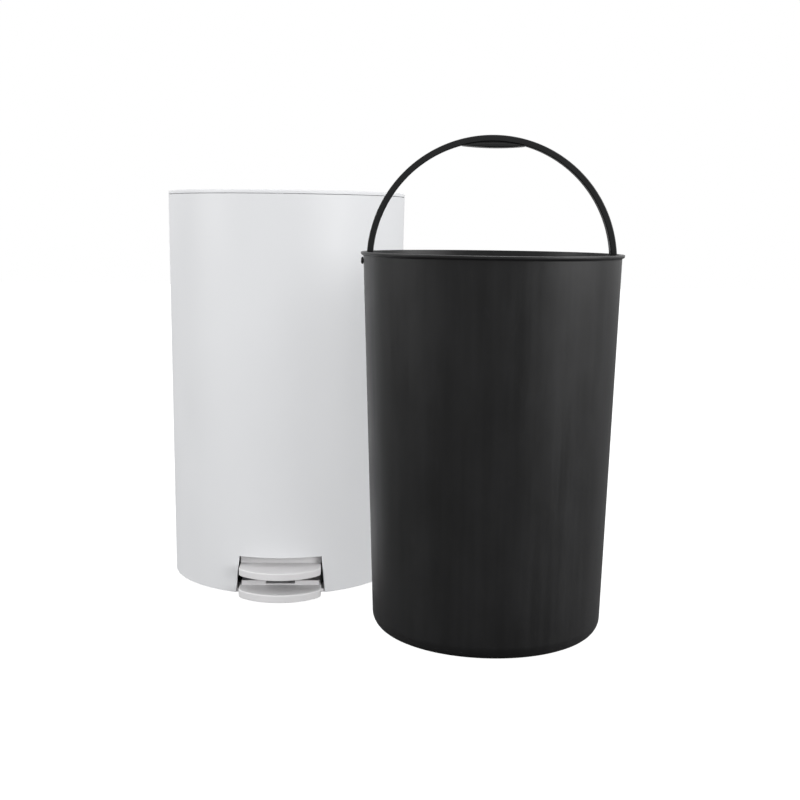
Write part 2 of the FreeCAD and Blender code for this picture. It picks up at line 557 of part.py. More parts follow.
def placed(shape):
    """Move a bucket piece to where the bucket stands, in front and to the right of the can."""
    return shape.translated(Vec(BUCKET_X, BUCKET_Y, 0))


def all_parts():
    """Every node's name and shape."""
    parts = {
        "outer_shell": outer_shell(),
        "base": base(),
        "lower_step": lower_step(),
        "anti_slip_ring": anti_slip_ring(),
        "pivot_pin": pivot_pin(),
        "pivot_clip": pivot_clip(),
        "hinge_housing": hinge_housing(),
        "hinge_pin": hinge_pin(),
        "housing_screws": housing_screws(),
        "lid": lid(),
        "lid_hinge_arm": lid_hinge_arm(),
        "lid_screws": lid_screws(),
        "pedal_tread": pedal_tread(),
        "pedal_lever": pedal_lever(),
        "tread_screws": tread_screws(),
        "push_rod": push_rod(),
        "rod_caps": rod_caps(),
        "bucket": placed(bucket()),
        "bail": placed(bail()),
        "bail_rivet_left": placed(bail_rivet(-1)),
        "bail_rivet_right": placed(bail_rivet(1)),
    }
    for name, height in GUIDE_HEIGHTS.items():
        parts[name] = rod_guide(height)
    for number, angle in enumerate(BUMPER_ANGLES, 1):
        parts["lid_bumper_%d" % number] = lid_bumper(angle)
    return parts


os.makedirs("parts", exist_ok=True)
for name, shape in all_parts().items():
    if not shape.isValid():
        raise ValueError(name + " is not a valid shape")
    shape.exportStep("parts/" + name + ".step")
    print("%-18s solids %d  volume %.1f cm3  z %.2f..%.2f" % (
        name, len(shape.Solids), shape.Volume / 1000, shape.BoundBox.ZMin, shape.BoundBox.ZMax))
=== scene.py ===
"""Pedal trash can with its lift-out bucket beside it: the looks built around the packed CAD part.

Metres, Z up, front towards -Y, origin at the centre of the can's base on the floor.
"""

import json
import math

import bmesh
import bpy
import numpy as np
from bpy.props import FloatProperty, FloatVectorProperty, PointerProperty
from mathutils import Matrix, Vector

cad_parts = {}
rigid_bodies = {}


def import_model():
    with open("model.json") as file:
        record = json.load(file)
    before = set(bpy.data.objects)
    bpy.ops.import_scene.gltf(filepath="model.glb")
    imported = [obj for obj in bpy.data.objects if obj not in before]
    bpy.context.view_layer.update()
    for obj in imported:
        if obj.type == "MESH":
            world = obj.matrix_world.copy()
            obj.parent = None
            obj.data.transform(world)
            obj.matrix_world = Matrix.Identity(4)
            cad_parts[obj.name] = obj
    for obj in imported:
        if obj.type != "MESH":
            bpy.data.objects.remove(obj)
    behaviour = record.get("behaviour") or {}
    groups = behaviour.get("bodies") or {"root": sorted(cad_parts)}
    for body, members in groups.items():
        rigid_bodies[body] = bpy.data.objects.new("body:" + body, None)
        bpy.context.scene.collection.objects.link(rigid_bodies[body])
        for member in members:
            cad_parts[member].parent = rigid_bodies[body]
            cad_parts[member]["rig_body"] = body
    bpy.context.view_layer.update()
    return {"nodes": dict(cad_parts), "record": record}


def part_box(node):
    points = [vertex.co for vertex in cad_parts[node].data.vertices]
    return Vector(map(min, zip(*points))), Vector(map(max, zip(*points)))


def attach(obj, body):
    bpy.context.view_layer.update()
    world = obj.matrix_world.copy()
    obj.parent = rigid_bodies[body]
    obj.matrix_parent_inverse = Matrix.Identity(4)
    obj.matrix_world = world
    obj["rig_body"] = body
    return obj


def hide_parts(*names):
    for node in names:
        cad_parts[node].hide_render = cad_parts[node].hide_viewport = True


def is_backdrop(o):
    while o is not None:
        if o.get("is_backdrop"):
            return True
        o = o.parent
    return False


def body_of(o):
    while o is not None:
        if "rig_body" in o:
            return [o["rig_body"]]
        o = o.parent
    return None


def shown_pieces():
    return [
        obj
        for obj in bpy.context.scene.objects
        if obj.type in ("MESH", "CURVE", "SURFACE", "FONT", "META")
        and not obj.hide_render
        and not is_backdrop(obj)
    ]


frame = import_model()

bl_info = {
    "name": "Pedal can",
    "version": (1, 0, 0),
    "blender": (4, 5, 0),
    "location": "View3D > Sidebar > Pedal can",
    "description": "Builds a white pedal can, its black bucket and a plain studio around them",
    "category": "Add Mesh",
}

MM = 0.001
TURN = 2 * math.pi

WELD = 0.005 * MM                   # points nearer than this become one
CREASE = math.radians(40)           # edges that turn by more than this stay crisp
KEEN = 0.01 * MM                    # the rounding of an edge that is as good as sharp
FINE = 0.2 * MM                     # the least rounding that a mould leaves
SOFT = 0.4 * MM                     # the usual rounding of a small moulded edge
OVERLAP = 1.0 * MM                  # how far one closed surface reaches into the next
ROUND_COLUMNS = 256                 # columns round the lid and the bucket

SENSOR_MM = 36                      # width of the camera's sensor
NOISE_LOW, NOISE_HIGH = 0.3, 0.7    # most of a noise's values lie between these

# numbered sockets of a Mix node that mixes colours
MIX_SHARE, MIX_FIRST, MIX_SECOND, MIX_RESULT = 0, 6, 7, 2

RIVET_BODY = next(body for body, nodes in frame["record"]["behaviour"]["bodies"].items()
                  if "bail_rivet_left" in nodes)


# ---- settings ----

def linear(code):
    """The linear RGB of an sRGB hex colour."""
    srgb = np.array([int(code[i:i + 2], 16) for i in (0, 2, 4)]) / 255
    return tuple(np.where(srgb <= 0.04045, srgb / 12.92, ((srgb + 0.055) / 1.055) ** 2.4).tolist())


def length(name, description, millimetres):
    """A size in metres whose default is given in millimetres."""
    return FloatProperty(name=name, description=description, default=millimetres * MM, precision=5,
                         unit="LENGTH", subtype="DISTANCE")


def colour(name, description, code):
    """A colour whose default is an sRGB hex code."""
    return FloatVectorProperty(name=name, description=description, default=linear(code), min=0, max=1,
                               size=3, subtype="COLOR")


def from_frame(node, corner, axis):
    """One number of a CAD node's box, in millimetres."""
    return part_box(node)[corner][axis] / MM


class ShellSizes(bpy.types.PropertyGroup):
    """Sizes of the can's tapered wall."""
    foot_z: length("Foot height", "Gap between the wall and the floor", from_frame("outer_shell", 0, 2))
    top_z: length("Height", "Top edge of the wall", from_frame("outer_shell", 1, 2))
    top_r: length("Top radius", "Outer radius at the top edge", from_frame("outer_shell", 1, 0))
    foot_r: length("Foot radius", "Outer radius at the floor", 118.5)
    wall: length("Wall", "Thickness of the wall", 1.8)
    edge: length("Edge", "Rounding of the wall's edges", 0.35)
    opening_foot: length("Opening foot", "Half width of the pedal opening at the floor", 45.0)
    opening_top: length("Opening top", "Half width of the pedal opening at its top", 41.5)
    opening_z: length("Opening height", "Height of the pedal opening", 38.3)
    notch: length("Notch", "Half width of the hinge notch at the rear", 17.0)
    notch_z: length("Notch height", "Lower edge of the hinge notch", 360.0)


class LidSizes(bpy.types.PropertyGroup):
    """Sizes of the flat lid."""
    radius: length("Radius", "Outer radius of the lid", from_frame("lid", 1, 0))
    top_z: length("Top", "Height of the lid's top face", from_frame("lid", 1, 2))
    rim_z: length("Rim", "Height of the turned-down rim's lower edge", 400.45)
    rim_in_r: length("Rim inside", "Inner radius of the rim", 121.0)
    skin: length("Skin", "Thickness of the flat skin", 2.0)
    edge: length("Edge", "Rounding of the lid's upper edge", 1.4)
    rim_edge: length("Rim edge", "Rounding of the rim's lower edges", 0.25)
    rib_r: length("Rib radius", "Outer radius of the stiffening rib", 117.5)
    rib_wall: length("Rib wall", "Thickness of the stiffening rib", 2.0)
    rib_z: length("Rib foot", "Lower edge of the stiffening rib", from_frame("lid", 0, 2))
    pad_half: length("Pad", "Half width of the pad over the hinge arm", 16.0)
    pad_y: length("Pad front", "Front end of the pad over the hinge arm", 82.0)
    pad_z: length("Pad foot", "Lower face of the pad, on the hinge arm", 400.8)
    pad_corner: length("Pad corner", "Corner radius of the pad", 1.5)


class StepSizes(bpy.types.PropertyGroup):
    """Sizes of the moving tread and of the fixed lower step."""
    arc_r: length("Front arc", "Radius of the steps' curved front", 52.0)
    corner_r: length("Corner", "Radius of the steps' front corners", 13.0)
    edge: length("Edge", "Rounding of the steps' upper edge", 1.3)
    lip: length("Lip", "Rounding of the steps' lower edge", 0.4)
    skirt: length("Skirt", "Thickness of the skirt round each step", 2.2)
    tread_front: length("Tread front", "Reach of the tread in front of the can's axis", 145.0)
    tread_back: length("Tread back", "Inner end of the tread", 72.0)
    tread_half: length("Tread half width", "Half width of the tread", 40.6)
    tread_low: length("Tread bottom", "Lower edge of the tread", 22.6)
    tread_top: length("Tread top", "Upper face of the tread", 29.6)
    tread_skin: length("Tread skin", "Thickness of the tread's top", 4.0)
    seat_half: length("Seat half width", "Half width of the lever's seat under the tread", 13.0)
    seat_front: length("Seat front", "Reach of the lever's seat under the tread", 117.0)
    seat_corner: length("Seat corner", "Corner radius of the lever's seat", 1.0)
    step_front: length("Step front", "Reach of the lower step in front of the can's axis", 146.5)
    step_back: length("Step back", "Inner end of the lower step", 70.0)
    step_half: length("Step half width", "Half width of the lower step", 41.0)
    step_low: length("Step bottom", "Lower edge of the lower step", 0.9)
    step_top: length("Step top", "Upper face of the lower step", 8.5)
    step_skin: length("Step skin", "Thickness of the lower step's top", 2.2)
    riser_wall: length("Riser", "Thickness of the walls behind the steps", 2.0)
    riser_edge: length("Riser edge", "Rounding of those walls", 0.4)
    tread_riser_y: length("Tread riser", "Front of the wall that stands on the tread", -104.0)
    tread_riser_z: length("Tread riser top", "Top of the wall that stands on the tread", 40.0)
    step_riser_y: length("Step riser", "Front of the low wall behind the lower step", -110.0)
    step_riser_half: length("Step riser half width", "Half width of that low wall", 39.0)
    step_riser_z: length("Step riser top", "Top of that low wall beside the lever", 13.0)
    sill_half: length("Sill half width", "Half width of its dip under the lever", 14.5)
    sill_z: length("Sill", "Height of its dip under the lever", 9.8)


class BucketSizes(bpy.types.PropertyGroup):
    """Sizes and place of the lift-out bucket."""
    x: length("X", "Place of the bucket's axis", 197.0)
    y: length("Y", "Place of the bucket's axis", -204.0)
    height: length("Height", "Top edge of the bucket", from_frame("bucket", 1, 2))
    foot_r: length("Foot radius", "Radius that the taper starts from", 105.0)
    growth: FloatProperty(name="Taper", description="Growth of the radius with height",
                          default=12.0 / 339.0)
    wall: length("Wall", "Thickness of the wall", 2.0)
    floor: length("Floor", "Thickness of the floor", 3.0)
    corner: length("Corner", "Rounding between wall and floor", 14.0)
    recess_r: length("Recess radius", "Radius of the recess under the floor", 84.0)
    recess: length("Recess", "Depth of the recess under the floor", 1.2)
    rim_r: length("Rim radius", "Outer radius of the thin rim", 119.5)
    rim: length("Rim", "Thickness of the rim", 3.0)
    edge: length("Edge", "Rounding of the rim's upper edge", 0.7)
    under: length("Under edge", "Rounding of the rim's lower edge", 1.5)
    cove: length("Cove", "Hollow rounding under the rim", 1.3)
    rest_r: length("Rest", "How far in the bail's rests reach", 108.0)
    rest_half: length("Rest half width", "Half width of a rest", 5.0)
    rest_z: length("Rest top", "Upper face of a rest", 333.7)
    rest: length("Rest thickness", "Thickness of a rest", 3.0)
    rest_corner: length("Rest corner", "Corner radius of a rest", 1.2)


class BailSizes(bpy.types.PropertyGroup):
    """Sizes of the half-round handle, its grip and its rivets."""
    pivot_z: length("Pivot", "Height of the rivets", 338.8)
    out_r: length("Outer radius", "Outer radius of the arch", 114.3)
    in_r: length("Inner radius", "Inner radius of the arch", 108.5)
    half: length("Half depth", "Half depth of the arch", 4.75)
    edge: length("Edge", "Rounding of the arch", 0.9)
    boss_r: length("Boss", "Radius of the bosses round the rivets", 8.0)
    grip_length: length("Grip half length", "Half length of the grip", 28.3)
    grip_half: length("Grip half depth", "Half depth of the grip", 9.0)
    grip_low: length("Grip underside", "Height of the grip's underside above the pivots", 102.9)
    grip_bow: length("Grip bow", "How much higher the underside is at its ends", 1.5)
    groove: length("Groove", "Height of the groove between arch and grip at its middle", 1.7)
    core_half: length("Core", "Half depth of the core behind the groove", 3.2)
    grip_edge: length("Grip edge", "Rounding of the grip", 1.2)
    rivet_r: length("Rivet", "Radius of a rivet's shank", 2.3)
    head_r: length("Rivet head", "Radius of a rivet's head", 3.3)
    head: length("Head height", "Height of a rivet's head", 2.1)
    clench_r: length("Clench", "Radius of a rivet's flat inner end", 3.7)
    clench: length("Clench thickness", "Thickness of a rivet's inner end", 1.4)
    wall_x: length("Wall", "Where a rivet's head starts, from the bucket's axis", 117.25)


class FinishColours(bpy.types.PropertyGroup):
    """Colours of the finishes."""
    white: colour("White", "Can and lid", "E2E3E5")
    grey_white: colour("Step white", "Steps, base and guides", "DEDDDE")
    black: colour("Bucket black", "Bucket", "171718")
    bail_black: colour("Bail black", "Bail, grip and rivets", "131415")
    zinc: colour("Zinc", "Plated steel", "C6C9CC")
    rubber: colour("Rubber", "Anti-slip ring", "2A2A2B")
    clear: colour("Elastomer", "Bumper dots", "DDDFDF")
    floor: colour("Floor", "Studio floor", "9A9A9A")


class StageSizes(bpy.types.PropertyGroup):
    """Camera and room."""
    eye: FloatVectorProperty(name="Camera", description="Place of the camera", size=3, unit="LENGTH",
                             subtype="TRANSLATION", default=(0.0717, -1.3165, 0.3719))
    heading: FloatProperty(name="Heading", description="Turn of the camera to the right", unit="ROTATION",
                           default=0.0381)
    dip: FloatProperty(name="Dip", description="How far the camera looks down", unit="ROTATION",
                       default=0.0971)
    roll: FloatProperty(name="Roll", description="Turn of the camera about its line of sight",
                        unit="ROTATION", default=0.0122)
    lens: FloatProperty(name="Lens", description="Focal length on a 36 mm sensor", default=54.97,
                        subtype="DISTANCE_CAMERA")
    rise: FloatProperty(name="Shift", description="Vertical shift of the lens", default=-0.0709)
    room: length("Floor", "Half width of the studio floor", 6000.0)


# ---- surfaces worked out with numpy ----

def grid_quads(rows, columns):
    """Quads (rows - 1, columns, 4) between neighbouring points of a grid whose rows are rings."""
    row, column = np.meshgrid(np.arange(rows - 1), np.arange(columns), indexing="ij")
    beside = (column + 1) % columns
    return np.stack([row * columns + column, row * columns + beside,
                     (row + 1) * columns + beside, (row + 1) * columns + column], -1)


def rounded(corners, radii, steps=6):
    """Points of a line whose corners are arcs: each arc's centre lies on its corner's bisector, the radius
    over the sine of half the corner's angle away, and its points turn evenly between the tangent points."""
    corners, radii = np.asarray(corners, float), np.asarray(radii, float)[:, None]
    corner = corners[1:-1]
    back, on = corners[:-2] - corner, corners[2:] - corner
    back /= np.linalg.norm(back, axis=1, keepdims=True)
    on /= np.linalg.norm(on, axis=1, keepdims=True)
    half = np.arccos(np.clip((back * on).sum(1, keepdims=True), -1, 1)) / 2
    bisector = (back + on) / np.linalg.norm(back + on, axis=1, keepdims=True)
    centre = corner + bisector * radii / np.sin(half)
    start, stop = corner + back * radii / np.tan(half), corner + on * radii / np.tan(half)
    sweep = (math.pi - 2 * half)[:, None]
    share = np.linspace(0, 1, steps)[None, :, None]
    arc = (centre[:, None] + (start - centre)[:, None] * np.sin((1 - share) * sweep) / np.sin(sweep)
           + (stop - centre)[:, None] * np.sin(share * sweep) / np.sin(sweep))
    return np.vstack([corners[:1], arc.reshape(-1, corners.shape[1]), corners[-1:]])


def turned(profile, columns, centre=(0, 0)):
    """Rings of a turned shape: (x, y, z) = centre + (r cos t, r sin t, z) for each (r, z) of the profile."""
    t = np.linspace(0, TURN, columns, endpoint=False)
    radius, height = profile[:, :1], profile[:, 1:]
    return np.stack([centre[0] + radius * np.cos(t), centre[1] + radius * np.sin(t), height + 0 * t], -1)


def rounded_section(half_a, half_b, radius, steps=5):
    """A closed rectangle of half sizes a and b: a quarter arc about each corner's centre, joined in turn."""
    t = np.linspace(0, math.pi / 2, steps)
    quarter = np.arange(4)[:, None] * math.pi / 2
    sign_a, sign_b = np.array([1, -1, -1, 1])[:, None], np.array([1, 1, -1, -1])[:, None]
    a = sign_a * (half_a - radius) + radius * np.cos(quarter + t)
    b = sign_b * (half_b - radius) + radius * np.sin(quarter + t)
    return np.stack([a.ravel(), b.ravel()], -1)


def half_moon(front, back, half, inset, s, side_points=8, corner_points=14, nose_points=22):
    """Closed outline (x, y) of a step, moved inwards by inset: straight side, corner arc, the front arc about
    the can's middle plane, and the mirror image of the corner and the side."""
    centre_y = s.arc_r - front
    corner_x = half - s.corner_r
    corner_y = centre_y - math.sqrt((s.arc_r - s.corner_r) ** 2 - corner_x ** 2)
    join = math.atan2(corner_y - centre_y, corner_x)
    corner = np.linspace(0, join, corner_points)
    nose = np.linspace(join, -math.pi / 2, nose_points)[1:]
    side_y = np.linspace(-back, corner_y, side_points)[:-1]
    x = np.concatenate([0 * side_y + half - inset, corner_x + (s.corner_r - inset) * np.cos(corner),
                        (s.arc_r - inset) * np.cos(nose)])
    y = np.concatenate([side_y, corner_y + (s.corner_r - inset) * np.sin(corner),
                        centre_y + (s.arc_r - inset) * np.sin(nose)])
    right = np.stack([x, y], -1)
    return np.vstack([right, (right * [-1, 1])[-2::-1]])


def layered(outlines, heights):
    """Rings of a slab: each (x, y) outline at its height."""
    outlines = np.stack(outlines)
    z = np.broadcast_to(np.asarray(heights)[:, None, None], outlines.shape[:2] + (1,))
    return np.concatenate([outlines, z], -1)


def lofted(rings):
    """Points and quads of closed rings joined in order, with both ends drawn together to a point."""
    ends = [np.broadcast_to(rings[i].mean(0), (1,) + rings[i].shape) for i in (0, -1)]
    rings = np.concatenate([ends[0], rings, ends[1]])
    return rings.reshape(-1, 3), grid_quads(*rings.shape[:2]).reshape(-1, 4)


def joined(*lofts):
    """Several closed surfaces as one set of points and quads."""
    starts = np.cumsum([0] + [len(points) for points, _ in lofts[:-1]])
    return (np.vstack([points for points, _ in lofts]),
            np.vstack([quads + start for start, (_, quads) in zip(starts, lofts)]))


def piece(name, surface, material, body, stands_for=(), closed=True):
    """A mesh piece from points and quads: seams and poles welded, faces outward, riding on its CAD body."""
    mesh = bpy.data.meshes.new(name)
    mesh.from_pydata(surface[0].tolist(), [], surface[1].tolist())
    work = bmesh.new()
    work.from_mesh(mesh)
    bmesh.ops.remove_doubles(work, verts=work.verts, dist=WELD)
    if closed:
        bmesh.ops.recalc_face_normals(work, faces=work.faces)
    work.to_mesh(mesh)
    work.free()
    mesh.polygons.foreach_set("use_smooth", [True] * len(mesh.polygons))
    mesh.set_sharp_from_angle(angle=CREASE)
    mesh.materials.append(material)
    made = bpy.data.objects.new(name, mesh)
    bpy.context.scene.collection.objects.link(made)
    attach(made, body)
    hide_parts(*stands_for)
    return made


def weighted(made):
    """Lets the large faces set the shading, so that flats stay flat up to their rounded edges."""
    modifier = made.modifiers.new("Weighted shading", "WEIGHTED_NORMAL")
    modifier.keep_sharp = True
    return made


# ---- materials ----

def add(tree, kind, inputs=None, **settings):
    """Adds a node with its settings; an input is given a value or linked to another node's output."""
    made = tree.nodes.new(kind)
    for key, value in settings.items():
        setattr(made, key, value)
    for socket, value in (inputs or {}).items():
        if isinstance(value, bpy.types.NodeSocket):
            tree.links.new(value, made.inputs[socket])
        else:
            made.inputs[socket].default_value = value
    return made


def blank(name):
    """An empty node material and its tree."""
    material = bpy.data.materials.get(name) or bpy.data.materials.new(name)
    material.use_nodes = True
    material.node_tree.nodes.clear()
    return material, material.node_tree


def pattern(tree, cell, stretch=1.0, detail=3.0, roughness=0.5, distortion=0.0):
    """Noise on Object coordinates with cells of a real size in metres, stretched upwards."""
    place = add(tree, "ShaderNodeTexCoord")
    size = add(tree, "ShaderNodeMapping", {"Vector": place.outputs["Object"],
                                           "Scale": (1 / cell, 1 / cell, 1 / (cell * stretch))})
    return add(tree, "ShaderNodeTexNoise", {"Vector": size.outputs[0], "Scale": 1.0, "Detail": detail,
                                            "Roughness": roughness, "Distortion": distortion}).outputs["Fac"]


def ranged(tree, value, low, high, to_low, to_high):
    """A value moved from one range to another, and held there."""
    return add(tree, "ShaderNodeMapRange", {"Value": value, "From Min": low, "From Max": high,
                                            "To Min": to_low, "To Max": to_high}).outputs["Result"]


def mixed(tree, share, first, second):
    """The output of two colours mixed by a share."""
    return add(tree, "ShaderNodeMix", {MIX_SHARE: share, MIX_FIRST: first, MIX_SECOND: second},
               data_type="RGBA").outputs[MIX_RESULT]


def shades(tree, rgb, share, swing):
    """A colour that varies by +-swing with a share from 0 to 1."""
    low = tuple(c * (1 - swing) for c in rgb) + (1,)
    high = tuple(min(1.0, c * (1 + swing)) for c in rgb) + (1,)
    return mixed(tree, share, low, high)


PP_IOR = 1.49                           # of polypropylene
DRY_SCUFF = (0.05, 0.05, 0.052, 1)      # black polypropylene where it is rubbed dull, as linear colour


def white_polypropylene(name, rgb, gloss):
    """Injection-moulded polypropylene: a satin face with a fine spark-eroded mould grain, and slow, barely
    visible drifts of tone where the melt cooled."""
    material, tree = blank(name)
    drift = ranged(tree, pattern(tree, 90 * MM, 1.6, 2.0), NOISE_LOW, NOISE_HIGH, 0.0, 1.0)
    tone = shades(tree, rgb, drift, 0.012)
    # the real grain is about 0.1 mm; it is drawn at 0.7 mm so that it shows
    grain = pattern(tree, 0.7 * MM, 1.0, 2.0)
    patches = pattern(tree, 25 * MM, 3.0, 4.0)
    rough = ranged(tree, patches, NOISE_LOW, NOISE_HIGH, gloss - 0.04, gloss + 0.05)
    bump = add(tree, "ShaderNodeBump", {"Height": grain, "Strength": 0.25, "Distance": 0.04 * MM})
    shader = add(tree, "ShaderNodeBsdfPrincipled",
                 {"Base Color": tone, "Roughness": rough, "IOR": PP_IOR, "Normal": bump.outputs[0]})
    add(tree, "ShaderNodeOutputMaterial", {"Surface": shader.outputs[0]})
    return material


def black_polypropylene(name, rgb, gloss, streak, scuff):
    """Recycled black polypropylene: upright flow streaks from the gate, cloudy patches, and thin dry scuffs
    from stacking, all weak enough to show only where light grazes the wall."""
    material, tree = blank(name)
    flow = pattern(tree, 9 * MM, 40.0, 4.0, 0.6)
    cloud = pattern(tree, 45 * MM, 1.8, 4.0, 0.6)
    rub = ranged(tree, pattern(tree, 6 * MM, 3.5, 6.0, 0.72, 0.6), 0.60, 0.74, 0.0, 1.0)
    both = add(tree, "ShaderNodeMath", {0: flow, 1: cloud}, operation="ADD").outputs[0]
    low, high = 0.75, 1.25      # most sums of two noises lie between these
    even = ranged(tree, both, low, high, 0.0, 1.0)
    tone = shades(tree, rgb, even, streak)
    worn = add(tree, "ShaderNodeMath", {0: rub, 1: scuff}, operation="MULTIPLY").outputs[0]
    lifted = mixed(tree, worn, tone, DRY_SCUFF)
    swing = ranged(tree, both, low, high, gloss - 0.05, gloss + 0.05)
    rough = add(tree, "ShaderNodeMath", {0: swing, 1: worn}, operation="ADD", use_clamp=True).outputs[0]
    # mould grain, drawn at 0.8 mm so that it shows
    grain = pattern(tree, 0.8 * MM, 1.0, 2.0)
    relief = add(tree, "ShaderNodeMath", {0: grain, 1: 0.5, 2: flow}, operation="MULTIPLY_ADD").outputs[0]
    bump = add(tree, "ShaderNodeBump", {"Height": relief, "Strength": 0.3, "Distance": 0.05 * MM})
    shader = add(tree, "ShaderNodeBsdfPrincipled",
                 {"Base Color": lifted, "Roughness": rough, "IOR": PP_IOR, "Normal": bump.outputs[0]})
    add(tree, "ShaderNodeOutputMaterial", {"Surface": shader.outputs[0]})
    return material


def zinc_plated_steel(name, rgb):
    """Bright zinc plate over drawn steel: soft grey metal with fine crystals that change its gloss."""
    material, tree = blank(name)
    crystals = pattern(tree, 1.5 * MM, 1.0, 3.0)
    tone = shades(tree, rgb, ranged(tree, crystals, NOISE_LOW, NOISE_HIGH, 0.0, 1.0), 0.06)
    rough = ranged(tree, crystals, NOISE_LOW, NOISE_HIGH, 0.24, 0.42)
    bump = add(tree, "ShaderNodeBump", {"Height": crystals, "Strength": 0.2, "Distance": 0.03 * MM})
    shader = add(tree, "ShaderNodeBsdfPrincipled",
                 {"Base Color": tone, "Metallic": 1.0, "Roughness": rough, "Normal": bump.outputs[0]})
    add(tree, "ShaderNodeOutputMaterial", {"Surface": shader.outputs[0]})
    return material


def soft_rubber(name, rgb):
    """Thermoplastic rubber: dull and slightly dusty, with a fine open grain."""
    material, tree = blank(name)
    grain = pattern(tree, 0.9 * MM, 1.0, 4.0)
    dust = ranged(tree, pattern(tree, 12 * MM, 1.0, 4.0), 0.35, 0.7, 0.0, 1.0)
    bump = add(tree, "ShaderNodeBump", {"Height": grain, "Strength": 0.5, "Distance": 0.08 * MM})
    shader = add(tree, "ShaderNodeBsdfPrincipled",
                 {"Base Color": shades(tree, rgb, dust, 0.2), "IOR": 1.5,
                  "Roughness": ranged(tree, dust, 0, 1, 0.7, 0.85), "Normal": bump.outputs[0]})
    add(tree, "ShaderNodeOutputMaterial", {"Surface": shader.outputs[0]})
    return material


def clear_elastomer(name, rgb):
    """Cast polyurethane dots: milky, half clear, with a faint orange-peel skin."""
    material, tree = blank(name)
    skin = pattern(tree, 1.2 * MM, 1.0, 2.0)
    bump = add(tree, "ShaderNodeBump", {"Height": skin, "Strength": 0.2, "Distance": 0.04 * MM})
    shader = add(tree, "ShaderNodeBsdfPrincipled",
                 {"Base Color": shades(tree, rgb, skin, 0.05), "IOR": 1.5, "Transmission Weight": 0.5,
                  "Roughness": ranged(tree, skin, 0, 1, 0.2, 0.35), "Normal": bump.outputs[0]})
    add(tree, "ShaderNodeOutputMaterial", {"Surface": shader.outputs[0]})
    return material


def studio_paper(name, rgb):
    """Seamless studio paper, matt with a faint tooth and lit through: it looks white, and throws little light
    back up at the pieces."""
    material, tree = blank(name)
    tooth = pattern(tree, 4 * MM, 1.0, 3.0)
    paper = add(tree, "ShaderNodeBsdfPrincipled",
                {"Base Color": shades(tree, rgb, tooth, 0.01), "Roughness": 0.9, "Specular IOR Level": 0.1})
    place = add(tree, "ShaderNodeTexCoord").outputs["Object"]
    away = add(tree, "ShaderNodeVectorMath", {0: place}, operation="LENGTH").outputs["Value"]
    shine = ranged(tree, away, 95 * MM, 110 * MM, 0.0, 1.0)      # no light through the paper under the can
    glow = add(tree, "ShaderNodeEmission", {"Color": (1, 1, 1, 1), "Strength": shine})
    lit = add(tree, "ShaderNodeAddShader", {0: paper.outputs[0], 1: glow.outputs[0]})
    ray = add(tree, "ShaderNodeLightPath")
    both = add(tree, "ShaderNodeMixShader", {0: ray.outputs["Is Camera Ray"], 1: paper.outputs[0],
                                             2: lit.outputs[0]})
    add(tree, "ShaderNodeOutputMaterial", {"Surface": both.outputs[0]})
    return material


# slot: the material's name, its maker, its colour and what else the maker takes
FINISHES = {
    "white_pp": ("White polypropylene", white_polypropylene, "white", 0.47),
    "grey_pp": ("Grey-white polypropylene", white_polypropylene, "grey_white", 0.42),
    "black_pp": ("Black polypropylene", black_polypropylene, "black", 0.40, 0.35, 0.10),
    "bail": ("Black polypropylene, polished mould", black_polypropylene, "bail_black", 0.30, 0.15, 0.03),
    "zinc_steel": ("Zinc-plated steel", zinc_plated_steel, "zinc"),
    "rubber": ("Thermoplastic rubber", soft_rubber, "rubber"),
    "clear_bumper": ("Cast polyurethane", clear_elastomer, "clear"),
}


def finish_of(slot):
    """The material for a slot, made at its first use."""
    name, make, tint, *settings = FINISHES[slot]
    colours = bpy.context.scene.pedal_can_colours
    return bpy.data.materials.get(name) or make(name, getattr(colours, tint), *settings)


# ---- operators ----

